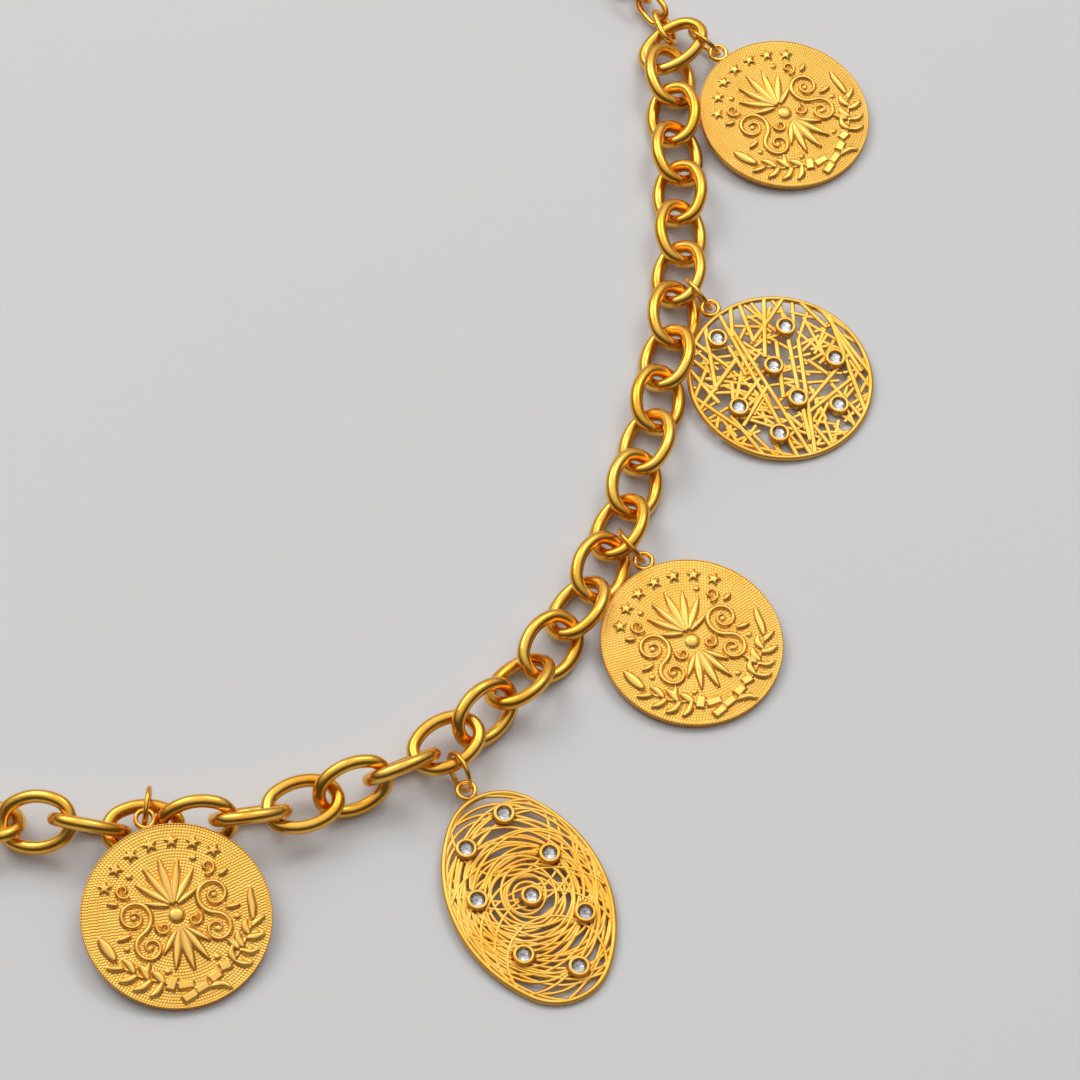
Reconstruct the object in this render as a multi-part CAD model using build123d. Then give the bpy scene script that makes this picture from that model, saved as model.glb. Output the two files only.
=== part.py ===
from build123d import *
from collections import namedtuple
import math
import os

# A gold charm necklace that lies open on a flat surface, in millimetres.
# The origin is the middle of the neck opening, on the plane that the necklace rests on.
# +Z is up, +Y points to the clasp and -Y to the front of the necklace.

# heavy chain: oval links of round wire
heavy_wire = 1.6
heavy_length = 10.0
heavy_width = 7.6
heavy_roundness = 0.87   # radius of a link's end, as a share of half its width at the wire's centre
heavy_slack = 0.6        # play between two hooked links, beside one wire diameter

# light chain that closes the necklace behind the neck
light_wire = 0.8
light_length = 5.8
light_width = 3.8
light_roundness = 0.95
light_slack = 0.35
light_rise = 26.0        # how far the light chain bows out behind the heavy chain's ends
light_start = 5.0        # bearing on its bow at which the light chain begins
light_lean = 50.0
light_height = 2.1       # height of its links' middles
light_pull = 1.2         # how far out in the clasp's eye the last link pulls

# plain clasp in one piece
clasp_length = 9.0
clasp_diameter = 4.2
clasp_eye_hole = 2.6
clasp_eye_wire = 1.0
clasp_rounding = 0.3     # fillet of the barrel's ends, as a share of its diameter
clasp_eye_sink = 0.2     # how deep the eyes' wire is soldered into the barrel

# jump rings
ring_diameter = 5.3
ring_wire = 0.6

# coins and their soldered loops
coin_radius = 11.0
coin_thickness = 0.9
coin_rim = 0.45
field_depth = 0.12
relief_height = 0.34
loop_hole = 1.5
loop_wire = 0.6
loop_sink = 0.25         # how deep the loop's wire is soldered into the edge
star_count = 7
star_radius = 0.78
star_waist = 0.45        # inner corners of a star, as a share of its radius
star_ring = 9.2
star_spacing = 15.7
wreath_ring = 8.9
leaf_length = 2.5
leaf_width = 0.85
leaf_count = 9
leaf_spacing = 9.5
leaf_leans = (112, 62)   # turn of every other leaf from the outward direction
stem_width = 0.32
wreath_tie = 178.0       # bearing of the tie under the wreath, from the loop
ribbon_length = 2.0
ribbon_out = 0.4         # how far outside the stems the ribbon's ends start
ribbon_spread = 25.0
scroll_width = 0.55
petal_length = 3.96
petal_width = 1.32
petal_spread = 28.0

# pierced medallions
round_radius = 11.7
oval_long = 14.1         # half axes of the oval one
oval_short = 9.5
oval_roundness = 0.70
oval_turn = -5.0         # its long axis from the direction of its loop
rim_wire = 0.7
web_thickness = 0.55
bar_width = 0.42
swirl_width = 0.42
bezel_diameter = 2.55
bezel_height = 1.25
mouth_share = 0.45       # depth of a collar's mouth above its seat, as a share of its height
seat_bottom = 0.35       # width of the seat's lower hole, as a share of its upper one
stone_diameter = 1.55
stone_height = 0.8
stone_table = 0.55       # width of the table, as a share of the stone's
stone_culet = 0.16       # width of the lowest facet, as a share of the stone's
pavilion_share = 0.65    # height of the part below the girdle, as a share of the stone's
stone_gap = 0.08
stone_facets = 8

heavy_pitch = heavy_length - 2 * heavy_wire - heavy_slack
light_pitch = light_length - 2 * light_wire - light_slack

# Route of the right half's hooks, from the front to the last heavy link. Places are shares
# of the heavy chain's pitch, and each stretch holds a whole number of links.
Bend = namedtuple("Bend", "across along links")
right_route = [
    Bend(0.00, -9.79, 3),
    Bend(2.99, -9.66, 3),
    Bend(5.86, -8.72, 3),
    Bend(8.34, -7.05, 4),
    Bend(10.47, -3.65, 4),
    Bend(11.45, 0.31, 4),
    Bend(11.78, 4.39, 4),
    Bend(11.39, 8.35, 1),
    Bend(11.25, 9.33, 0),
]

# The front links lie unevenly. Each row gives a link's lean about its length, with the far
# side up, and the height of the hook at its end as a share of the link's width.
Lie = namedtuple("Lie", "lean height")
front_lies = [
    Lie(-25, 0.34),
    Lie(32, 0.57),
    Lie(-62, 0.37),
    Lie(3, 0.42),
    Lie(59, 0.52),
    Lie(-58, 0.41),
    Lie(-2, 0.42),
    Lie(56, 0.49),
    Lie(-62, 0.42),
    Lie(-2, 0.44),
    Lie(53, 0.41),
]
even_lean = 29.0

# The last heavy link lies across its neighbour's end: its middle from the last hook, as
# shares of its width, and how it is turned.
end_across = 0.071
end_along = 0.212
end_height = 0.333
end_heading = 42.0
end_pitch = 13.7
end_lean = -15.0

# Where the light chain hooks onto the last heavy link, from that link's middle, as shares of
# its width.
light_across = -0.068
light_along = 0.200

# Charms of the right half. The middle of each jump ring is given from the hook that it hangs
# beside, in shares of the ring's diameter, and its height in shares of a heavy link's width.
# A hook of 2.5 is the middle of the link between hooks 2 and 3, and the one after the last is
# the far end of the last link. The turn is the ring's own bearing and the tip its lean to the
# side. The charm's loop points along the bearing, and the droop is how far below level the
# ring holds it.
Charm = namedtuple("Charm", "name hook across along height turn tip bearing droop")
charms = [
    Charm("coin_front", 2.75, -0.256, 0.400, 0.524, 89, -3, 114, -29),
    Charm("medallion_oval", 8, 0.779, -0.289, 0.400, 124, -8, 123, 32),
    Charm("coin_middle", 14, 0.464, 0.055, 0.350, 129, 23, 122, 11),
    Charm("medallion_round", 20, 0.504, 0.023, 0.356, 129, 21, 136, 15),
    Charm("coin_back", 27, 0.177, -0.390, 0.385, 143, 22, 138, 3),
]


def level_height(lean):
    """Height of a leaning link's middle when its low side touches the ground."""
    side = (heavy_width - heavy_wire) / 2
    return side * abs(math.sin(math.radians(lean))) + heavy_wire / 2


def bend_point(bends, index, share):
    """Point on the smooth route between one bend and the next."""
    here, there = bends[index], bends[index + 1]
    before = bends[index - 1] if index else here
    after = bends[index + 2] if index + 2 < len(bends) else there
    near_links = before.links if index else here.links
    far_links = there.links if there.links else here.links

    def blend(axis):
        p0, p1, p2, p3 = (getattr(bend, axis) for bend in (before, here, there, after))
        start_pull = (p2 - p0) * here.links / (near_links * (index > 0) + here.links)
        end_pull = (p3 - p1) * here.links / (far_links * (after is not there) + here.links)
        s = share
        return (
            (2 * s**3 - 3 * s**2 + 1) * p1
            + (s**3 - 2 * s**2 + s) * start_pull
            + (3 * s**2 - 2 * s**3) * p2
            + (s**3 - s**2) * end_pull
        )

    return blend("across") * heavy_pitch, blend("along") * heavy_pitch


def hook_points(bends):
    """Level places of all hooks along a route."""
    points = []
    for index, bend in enumerate(bends[:-1]):
        points += [bend_point(bends, index, step / bend.links) for step in range(bend.links)]
    points.append((bends[-1].across * heavy_pitch, bends[-1].along * heavy_pitch))
    return points


def lean_of(link):
    """Lean of a numbered link: the uneven front first, then each link against its neighbour."""
    if link < len(front_lies):
        return front_lies[link].lean
    return even_lean if link % 2 == 0 else -even_lean


def hook_height(hook):
    """Height of the hook at the end of a numbered link."""
    if 0 <= hook < len(front_lies):
        return front_lies[hook].height * heavy_width
    return level_height(even_lean)


def lying_plane(middle, along, lean):
    """Plane of a link: X along the link, Y across it, leaning about X by the given angle."""
    along = along.normalized()
    level = Vector(0, 0, 1).cross(along).normalized()
    up = along.cross(level)
    tilt = math.radians(lean)
    across = level * math.cos(tilt) + up * math.sin(tilt)
    return Plane(origin=middle, x_dir=along, z_dir=along.cross(across))


def heading_vector(heading, pitch=0.0):
    turn, rise = math.radians(heading), math.radians(pitch)
    return Vector(math.cos(rise) * math.cos(turn), math.cos(rise) * math.sin(turn), math.sin(rise))


def bent_wire(centre, radius, start, turn, wire):
    """A round wire bent about a point of the XY plane."""
    angle = math.radians(start)
    radial = Vector(math.cos(angle), math.sin(angle), 0)
    tangent = Vector(-math.sin(angle), math.cos(angle), 0)
    section = Plane(origin=centre + radial * radius, x_dir=radial, z_dir=tangent) * Circle(wire / 2)
    return revolve(section, Axis(centre, (0, 0, 1)), turn)


def oval_link(length, width, wire, roundness):
    """Closed oval link in the XY plane, bent from two end arcs and two side arcs."""
    half_length = (length - wire) / 2
    half_width = (width - wire) / 2
    end_radius = roundness * half_width
    reach = half_length - end_radius
    side_radius = (reach**2 + half_width**2 - end_radius**2) / (2 * (half_width - end_radius))
    drop = side_radius - half_width
    split = math.degrees(math.atan2(drop, reach))
    ends = [
        bent_wire(Vector(reach, 0, 0), end_radius, -split, 2 * split, wire),
        bent_wire(Vector(-reach, 0, 0), end_radius, 180 - split, 2 * split, wire),
    ]
    sides = [
        bent_wire(Vector(0, -drop, 0), side_radius, split, 180 - 2 * split, wire),
        bent_wire(Vector(0, drop, 0), side_radius, 180 + split, 180 - 2 * split, wire),
    ]
    return ends[0] + sides[0] + ends[1] + sides[1]


def jump_ring():
    return Torus((ring_diameter - ring_wire) / 2, ring_wire / 2)


def loop_reach(reach):
    """Distance from a charm's middle to the middle of its loop."""
    return reach + loop_hole / 2 + loop_wire - loop_sink


def soldered_loop(reach, height):
    """Small loop on a charm's edge, its hole just outside the edge."""
    return Pos(loop_reach(reach), 0, height) * Torus((loop_hole + loop_wire) / 2, loop_wire / 2)


def star(radius):
    inner = radius * star_waist
    corners = [
        (r * math.cos(math.radians(36 * k)), r * math.sin(math.radians(36 * k)))
        for k, r in enumerate([radius, inner] * 5)
    ]
    return make_face(Polyline(*corners, close=True))


def leaf(length, width):
    """Pointed leaf along X, from its stalk at the origin."""
    tip, bulge = (length, 0), width / 2
    upper = ThreePointArc((0, 0), (length * 0.5, bulge), tip)
    lower = ThreePointArc(tip, (length * 0.5, -bulge), (0, 0))
    return make_face(upper + lower)


def at_bearing(bearing, distance, turn=0.0):
    """Place for a motif at a bearing from the loop, turned from the outward direction."""
    return Rot(0, 0, bearing) * Pos(distance, 0, 0) * Rot(0, 0, turn)


def stars():
    middle = (star_count - 1) / 2
    bearings = [(k - middle) * star_spacing for k in range(star_count)]
    return [at_bearing(bearing, star_ring) * star(star_radius) for bearing in bearings]


def wreath():
    """Two leafy branches that rise from a tie on either side."""
    shapes = []
    for side in (1, -1):
        for k in range(leaf_count):
            bearing = wreath_tie + side * (k + 1) * leaf_spacing
            turn = side * leaf_leans[k % 2]
            shapes.append(at_bearing(bearing, wreath_ring, turn) * leaf(leaf_length, leaf_width))
        sweep_angle = leaf_spacing * leaf_count
        start = wreath_tie if side > 0 else wreath_tie - sweep_angle
        shapes.append(curved_band(0, 0, wreath_ring, start, sweep_angle, stem_width))
        turn = 180 - side * ribbon_spread
        place = at_bearing(wreath_tie, wreath_ring + ribbon_out, turn)
        shapes.append(place * leaf(ribbon_length, leaf_width))
    return shapes


def curved_band(x, y, radius, start, turn, width):
    """Flat band bent about a point, as an arc of constant width with round ends."""
    arc = CenterArc((x, y), radius, start, turn)
    band = trace(arc, width)
    for end in (0, 1):
        spot = arc @ end
        band += Pos(spot.X, spot.Y) * Circle(width / 2)
    return band


# Flourish in the middle of the coin: arcs with round ends, their places and radii as shares
# of the coin's radius, and two fans of petals that start from the places given after them.
Scroll = namedtuple("Scroll", "x y radius start turn")
flourish = [
    Scroll(0.20, 0.20, 0.30, 20, 250),
    Scroll(0.20, 0.14, 0.16, 200, 260),
    Scroll(0.20, -0.24, 0.30, 90, 250),
    Scroll(0.20, -0.18, 0.16, -100, 260),
    Scroll(-0.30, 0.26, 0.22, 30, 260),
    Scroll(-0.30, -0.26, 0.22, 70, 260),
    Scroll(-0.02, 0.00, 0.50, 150, 60),
]
Fan = namedtuple("Fan", "x turn")
fans = [Fan(0.24, 0), Fan(-0.12, 180)]


def coin_flourish():
    shapes = []
    for scroll in flourish:
        x, y, radius = (share * coin_radius for share in (scroll.x, scroll.y, scroll.radius))
        shapes.append(curved_band(x, y, radius, scroll.start, scroll.turn, scroll_width))
    petal = leaf(petal_length, petal_width)
    for fan in fans:
        for spread in (-petal_spread, 0, petal_spread):
            shapes.append(Pos(fan.x * coin_radius, 0) * Rot(0, 0, fan.turn + spread) * petal)
    return shapes


def coin():
    """Struck coin with a raised rim, stars, wreath and flourish, and its soldered loop."""
    flat = (Align.CENTER, Align.CENTER, Align.MIN)
    field = coin_thickness - field_depth
    body = Cylinder(coin_radius, coin_thickness, align=flat)
    body -= Pos(0, 0, field) * Cylinder(coin_radius - coin_rim, field_depth, align=flat)
    motifs = Sketch() + stars() + wreath() + coin_flourish()
    body += Pos(0, 0, field) * extrude(motifs, relief_height)
    return body + soldered_loop(coin_radius, coin_thickness / 2)


# Bars of the round medallion: bearings of both ends on the rim, from the loop, and how
# much of the bar is there, as shares of its length.
Bar = namedtuple("Bar", "first last begin end")
lattice = [
    Bar(3, 156, 0, 1),
    Bar(-4, 165, 0, 1),
    Bar(-28, 122, 0, 0.62),
    Bar(-46, 167, 0, 1),
    Bar(-39, 172, 0.3, 0.9),
    Bar(-55, 176, 0.3, 0.85),
    Bar(-68, 214, 0, 1),
    Bar(-88, 196, 0, 1),
    Bar(-58, 236, 0, 0.5),
    Bar(-96, 228, 0.2, 1),
    Bar(-112, 60, 0.05, 0.55),
    Bar(32, 212, 0.0, 1),
    Bar(53, 196, 0, 1),
    Bar(66, 152, 0, 1),
    Bar(84, 140, 0, 1),
    Bar(20, 112, 0, 1),
    Bar(40, 96, 0, 1),
    Bar(-15, 62, 0, 1),
    Bar(-36, 30, 0.1, 1),
    Bar(-74, 12, 0, 0.8),
    Bar(-100, -24, 0, 0.9),
    Bar(-130, -62, 0, 1),
    Bar(178, -118, 0, 1),
]

Spot = namedtuple("Spot", "x y")
# Stones of the round medallion, as shares of its radius, X towards the loop.
round_stones = [
    Spot(0.756, 0.214),
    Spot(0.405, -0.455),
    Spot(-0.213, -0.605),
    Spot(0.133, -0.025),
    Spot(-0.316, 0.040),
    Spot(-0.003, 0.605),
    Spot(-0.649, -0.245),
    Spot(-0.505, 0.489),
]
# Stones of the oval medallion, as shares of its half length and half width.
oval_stones = [
    Spot(0.747, -0.153),
    Spot(0.571, 0.465),
    Spot(0.276, -0.457),
    Spot(0.113, 0.609),
    Spot(-0.016, -0.024),
    Spot(-0.320, -0.541),
    Spot(-0.475, 0.379),
    Spot(-0.738, -0.180),
]


def on_rim(bearing, radius):
    angle = math.radians(bearing)
    return Vector(radius * math.cos(angle), radius * math.sin(angle), 0)


def straight_band(start, end, width):
    middle = (start + end) / 2
    run = end - start
    turn = math.degrees(math.atan2(run.Y, run.X))
    return Pos(middle.X, middle.Y) * Rot(0, 0, turn) * Rectangle(run.length, width)


def bezel():
    """Round collar with a conical seat for one stone."""
    flat = (Align.CENTER, Align.CENTER, Align.MIN)
    seat = stone_diameter / 2 + stone_gap
    collar = Cylinder(bezel_diameter / 2, bezel_height, align=flat)
    mouth_depth = bezel_height * mouth_share
    collar -= Pos(0, 0, bezel_height - mouth_depth) * Cylinder(seat, mouth_depth, align=flat)
    return collar - Cone(seat * seat_bottom, seat, bezel_height - mouth_depth, align=flat)


def round_medallion():
    """Wire-rimmed disc with a lattice of crossing bars and eight collars."""
    rim_radius = round_radius - rim_wire / 2
    bands = []
    for bar in lattice:
        first, last = on_rim(bar.first, rim_radius), on_rim(bar.last, rim_radius)
        run = last - first
        bands.append(straight_band(first + run * bar.begin, first + run * bar.end, bar_width))
    rim = Pos(0, 0, rim_wire / 2) * Torus(rim_radius, rim_wire / 2)
    body = pierced_body(bands, Circle(rim_radius), round_spots(), rim)
    return body + soldered_loop(round_radius, rim_wire / 2)


# Rings of the oval medallion's swirl: their middles and radii as shares of the oval's half
# width. They cross one another, and the rim cuts off the outer ones.
Ring = namedtuple("Ring", "x y radius")
swirl = [
    Ring(0.00, 0.00, 0.15),
    Ring(0.05, 0.06, 0.25),
    Ring(-0.05, -0.03, 0.35),
    Ring(0.05, -0.05, 0.48),
    Ring(-0.04, 0.06, 0.57),
    Ring(0.07, 0.02, 0.67),
    Ring(-0.08, -0.03, 0.77),
    Ring(0.16, 0.04, 0.86),
    Ring(-0.18, -0.02, 0.88),
    Ring(0.40, -0.03, 0.86),
    Ring(-0.42, 0.05, 0.87),
    Ring(0.22, 0.06, 1.08),
    Ring(-0.24, -0.06, 1.10),
    Ring(0.08, -0.10, 1.30),
    Ring(-0.06, 0.08, 1.32),
]


def oval_face(half_length, half_width):
    """Oval outline from two end arcs and two side arcs."""
    end_radius = oval_roundness * half_width
    reach = half_length - end_radius
    side_radius = (reach**2 + half_width**2 - end_radius**2) / (2 * (half_width - end_radius))
    drop = side_radius - half_width
    split = math.degrees(math.atan2(drop, reach))
    outline = [
        CenterArc((reach, 0), end_radius, -split, 2 * split),
        CenterArc((0, -drop), side_radius, split, 180 - 2 * split),
        CenterArc((-reach, 0), end_radius, 180 - split, 2 * split),
        CenterArc((0, drop), side_radius, 180 + split, 180 - 2 * split),
    ]
    return make_face(Curve() + outline)


def oval_medallion():
    """Wire-rimmed oval with a swirl of crossing rings and eight collars."""
    bands = []
    for ring in swirl:
        radius = ring.radius * oval_short
        band = Circle(radius + swirl_width / 2) - Circle(radius - swirl_width / 2)
        bands.append(Pos(ring.x * oval_short, ring.y * oval_short) * band)
    inside = oval_face(oval_long - rim_wire / 2, oval_short - rim_wire / 2)
    rim = Pos(0, 0, rim_wire / 2) * oval_link(2 * oval_long, 2 * oval_short, rim_wire, oval_roundness)
    body = pierced_body(bands, inside, oval_spots(), rim)
    return Rot(0, 0, oval_turn) * body + soldered_loop(oval_long, rim_wire / 2)


def round_spots():
    return [(spot.x * round_radius, spot.y * round_radius) for spot in round_stones]


def oval_spots():
    return [(spot.x * oval_long, spot.y * oval_short) for spot in oval_stones]


def pierced_body(bands, inside, spots, rim):
    """Flat openwork inside a rim, with a collar at each spot."""
    web = Sketch() + bands
    web &= inside
    web -= [Pos(x, y) * Circle(bezel_diameter / 2 - bar_width / 2) for x, y in spots]
    base = (rim_wire - web_thickness) / 2
    body = Pos(0, 0, base) * extrude(web, web_thickness)
    return body + ([rim] + [Pos(x, y, 0) * bezel() for x, y in spots])


def cut_stone():
    """Eight-sided cut stone with a flat table, its girdle at the mouth of the collar's seat."""
    girdle = bezel_height * (1 - mouth_share)
    pavilion = min(girdle - stone_gap, stone_height * pavilion_share)
    crown = stone_height - pavilion
    widths = [stone_diameter * share for share in (stone_culet, 1, stone_table)]
    levels = [girdle - pavilion, girdle, girdle + crown]
    outlines = [
        Pos(0, 0, level) * RegularPolygon(width / 2, stone_facets)
        for level, width in zip(levels, widths)
    ]
    lower = loft([outlines[0], outlines[1]], ruled=True)
    upper = loft([outlines[1], outlines[2]], ruled=True)
    return Pos(0, 0, stone_gap) * (lower + upper)


def clasp():
    """Plain barrel with an eye at each end, along X, its middle at the origin."""
    barrel = Rot(0, 90, 0) * Cylinder(clasp_diameter / 2, clasp_length)
    barrel = fillet(barrel.edges(), clasp_diameter * clasp_rounding)
    eye = Torus((clasp_eye_hole + clasp_eye_wire) / 2, clasp_eye_wire / 2)
    for side in (1, -1):
        barrel += Pos(side * clasp_eye_reach(), 0, 0) * Rot(light_lean, 0, 0) * eye
    return barrel


def clasp_eye_reach():
    return (clasp_length + clasp_eye_hole) / 2 + clasp_eye_wire / 2 - clasp_eye_sink


def mirrored(point):
    return Vector(-point.X, point.Y, point.Z)


def right_hooks():
    """Places of the hooks of the right half: hook k is the far end of link k."""
    places = hook_points(right_route)
    return [Vector(x, y, hook_height(k)) for k, (x, y) in enumerate(places)]


def left_hooks():
    """Mirrored hooks of the left half, all at the height of evenly leaning links."""
    even = level_height(even_lean)
    return [Vector(-hook.X, hook.Y, even) for hook in right_hooks()]


def end_plane():
    """Plane of the right half's last heavy link."""
    last = right_hooks()[-1]
    middle = Vector(last.X + end_across * heavy_width, last.Y + end_along * heavy_width, 0)
    middle += Vector(0, 0, end_height * heavy_width)
    return lying_plane(middle, heading_vector(end_heading, end_pitch), end_lean)


def right_link_planes():
    """Planes of the heavy links from the axis to the right half's last hook, then its end."""
    hooks = right_hooks()
    first = left_hooks()[1]
    planes = []
    for link, (start, end) in enumerate(zip([first] + hooks[:-1], hooks)):
        planes.append(lying_plane((start + end) / 2, end - start, lean_of(link)))
    return planes + [end_plane()]


def hidden_link_planes():
    """Planes of the left half's heavy links, drawn on the right and mirrored later."""
    hooks = [mirrored(hook) for hook in left_hooks()]
    planes = []
    for link in range(1, len(hooks) - 1):
        lean = even_lean if link % 2 else -even_lean
        start, end = hooks[link], hooks[link + 1]
        planes.append(lying_plane((start + end) / 2, end - start, lean))
    return planes + [end_plane()]


def light_hooks():
    """Hooks of the light chain's right half, evenly along its bow up to the clasp's eye.

    The number of links is odd, so that both end links lean the same way.
    """
    end = end_plane().origin
    start_x = end.X + light_across * heavy_width
    start_y = end.Y + light_along * heavy_width
    start = math.radians(light_start)
    half_width = start_x / math.cos(start)
    base = start_y - light_rise * math.sin(start)
    stop_x = clasp_eye_reach() + light_pull
    stop = math.degrees(math.acos(stop_x / half_width))
    sweep = stop - light_start
    bow = EllipticalCenterArc((0, base), half_width, light_rise, light_start, arc_size=sweep)
    pairs = math.ceil((bow.length / light_pitch - 1) / 2)
    count = 2 * pairs + 1
    return [bow @ (k / count) for k in range(count + 1)]


def light_link_planes():
    hooks = light_hooks()
    height = Vector(0, 0, light_height)
    planes = []
    for link, (start, end) in enumerate(zip(hooks[:-1], hooks[1:])):
        lean = -light_lean if link % 2 else light_lean
        planes.append(lying_plane((start + end) / 2 + height, end - start, lean))
    return planes


def charm_reach(name):
    return {"medallion_oval": oval_long, "medallion_round": round_radius}.get(name, coin_radius)


def charm_thickness(name):
    return rim_wire if name.startswith("medallion") else coin_thickness


def ring_plane(charm):
    """Plane of a charm's jump ring: X the way its charm's loop points."""
    out = heading_vector(charm.turn)
    side = Vector(0, 0, 1).cross(out)
    tip = math.radians(charm.tip)
    normal = side * math.cos(tip) - Vector(0, 0, 1) * math.sin(tip)
    end = end_plane()
    hooks = right_hooks() + [end.origin + end.x_dir * (heavy_length - heavy_wire) / 2]
    near = hooks[math.floor(charm.hook)]
    far = hooks[math.ceil(charm.hook)]
    hook = near + (far - near) * (charm.hook - math.floor(charm.hook))
    middle = Vector(hook.X, hook.Y, charm.height * heavy_width)
    middle += Vector(charm.across * ring_diameter, charm.along * ring_diameter, 0)
    return Plane(origin=middle, x_dir=out, z_dir=normal)


def charm_plane(charm):
    """Plane of a charm: its loop in the jump ring, its far edge on the ground."""
    ring = ring_plane(charm)
    droop = math.radians(charm.droop)
    radius = (ring_diameter - ring_wire) / 2
    sign = 1 if ring.y_dir.Z > 0 else -1
    hole = ring.origin - (ring.x_dir * math.cos(droop) + ring.y_dir * sign * math.sin(droop)) * radius
    middle = charm_thickness(charm.name) / 2
    span = charm_reach(charm.name) + loop_reach(charm_reach(charm.name))
    slope = math.asin(hole.Z / math.hypot(span, middle)) - math.atan2(middle, span)
    out = heading_vector(charm.bearing, math.degrees(slope))
    side = Vector(0, 0, 1).cross(out).normalized()
    up = out.cross(side)
    origin = hole - out * loop_reach(charm_reach(charm.name)) - up * middle
    return Plane(origin=origin, x_dir=out, z_dir=up)


os.makedirs("parts", exist_ok=True)


def save(shape, name):
    export_step(shape, "parts/" + name + ".step")


heavy_link = oval_link(heavy_length, heavy_width, heavy_wire, heavy_roundness)
for number, plane in enumerate(right_link_planes()):
    save(plane * heavy_link, f"link_{number:02d}")
hidden = Compound([plane * heavy_link for plane in hidden_link_planes()])
save(mirror(hidden, about=Plane.YZ), "heavy_chain_left")

light_link = oval_link(light_length, light_width, light_wire, light_roundness)
light_chain = Compound([plane * light_link for plane in light_link_planes()])
save(light_chain, "light_chain_right")
save(mirror(light_chain, about=Plane.YZ), "light_chain_left")
save(Pos(0, light_hooks()[-1].Y, light_height) * clasp(), "clasp")

bodies = {"medallion_oval": oval_medallion(), "medallion_round": round_medallion()}
coin_body = coin()
stones = {"medallion_oval": oval_spots(), "medallion_round": round_spots()}
turns = {"medallion_oval": oval_turn, "medallion_round": 0}
for charm in charms:
    place = charm_plane(charm)
    save(ring_plane(charm) * jump_ring(), charm.name + "_ring")
    save(place * bodies.get(charm.name, coin_body), charm.name)
    for number, (x, y) in enumerate(stones.get(charm.name, []), 1):
        seat = Rot(0, 0, turns[charm.name]) * Pos(x, y)
        save(place * seat * cut_stone(), f"{charm.name}_stone_{number}")
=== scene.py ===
import bpy
import math
import numpy as np
from mathutils import Matrix, Vector


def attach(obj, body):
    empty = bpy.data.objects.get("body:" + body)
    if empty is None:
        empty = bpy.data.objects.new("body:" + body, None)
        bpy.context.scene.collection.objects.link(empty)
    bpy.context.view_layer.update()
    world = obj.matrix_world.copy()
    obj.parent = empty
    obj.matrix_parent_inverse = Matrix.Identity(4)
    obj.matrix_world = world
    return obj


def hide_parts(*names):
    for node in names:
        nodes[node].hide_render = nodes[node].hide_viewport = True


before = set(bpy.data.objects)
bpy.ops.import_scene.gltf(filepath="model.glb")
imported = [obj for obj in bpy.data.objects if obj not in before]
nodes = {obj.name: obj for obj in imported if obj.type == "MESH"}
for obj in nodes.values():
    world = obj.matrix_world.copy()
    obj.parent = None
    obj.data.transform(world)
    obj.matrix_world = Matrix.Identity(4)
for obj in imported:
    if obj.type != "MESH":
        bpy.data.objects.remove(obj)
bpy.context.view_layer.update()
mm = 0.001
print("frame loaded:", len(nodes), "nodes")


# verts in metres, one material index for each face
def makePiece(name, verts, faces, mats, matIndex=None, uv=None, relief=None):
    mesh = bpy.data.meshes.new(name)
    mesh.from_pydata([tuple(v) for v in verts], [], faces)
    for mat in mats:
        mesh.materials.append(mat)
    if matIndex is not None:
        mesh.polygons.foreach_set("material_index", matIndex)
    mesh.polygons.foreach_set("use_smooth", [True] * len(mesh.polygons))
    if uv is not None:
        layer = mesh.uv_layers.new(name="face")
        corner = np.empty(len(mesh.loops), dtype=np.int32)
        mesh.loops.foreach_get("vertex_index", corner)
        layer.data.foreach_set("uv", np.asarray(uv)[corner].ravel())
    if relief is not None:
        attribute = mesh.attributes.new("relief", "FLOAT", "POINT")
        attribute.data.foreach_set("value", relief)
    mesh.update()
    piece = bpy.data.objects.new(name, mesh)
    bpy.context.scene.collection.objects.link(piece)
    return piece


# collects vertices and faces in a charm's own frame, in mm
class Shape:
    def __init__(self):
        self.verts, self.faces, self.kinds = [], [], []

    # kind is a material index, or a list with one for each face
    def add(self, verts, faces, kind=0):
        base = len(self.verts)
        self.verts += [tuple(v) for v in verts]
        self.faces += [tuple(base + i for i in face) for face in faces]
        self.kinds += kind if isinstance(kind, list) else [kind] * len(faces)


# run and level sideways direction at every point of a path
def sidesOf(path, closed):
    if closed:
        run = np.roll(path, -1, 0) - np.roll(path, 1, 0)
    else:
        run = np.gradient(path, axis=0)
    run /= np.linalg.norm(run, axis=1)[:, None]
    side = np.c_[-run[:, 1], run[:, 0], np.zeros(len(run))]
    side /= np.linalg.norm(side, axis=1)[:, None]
    return run, side


# faces over sections of equal count, rows shaped (path, section, 3)
def skinSections(rows, closed):
    count, sides = rows.shape[:2]
    faces = []
    for i in range(count if closed else count - 1):
        j = (i + 1) % count
        for k in range(sides):
            l = (k + 1) % sides
            faces.append((i * sides + k, i * sides + l, j * sides + l, j * sides + k))
    if not closed:
        faces.append(tuple(range(sides))[::-1])
        faces.append(tuple((count - 1) * sides + k for k in range(sides)))
    return rows.reshape(-1, 3), faces


# oval tube along a path that stays level
def sweepTube(path, halfWide, halfHigh, closed=False, sides=10):
    path = np.asarray(path, float)
    run, side = sidesOf(path, closed)
    up = np.cross(run, side)
    around = 2 * math.pi * (np.arange(sides) + 0.5) / sides
    rows = [path + side * (halfWide * math.cos(a)) + up * (halfHigh * math.sin(a)) for a in around]
    return skinSections(np.stack(rows, 1), closed)


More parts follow.
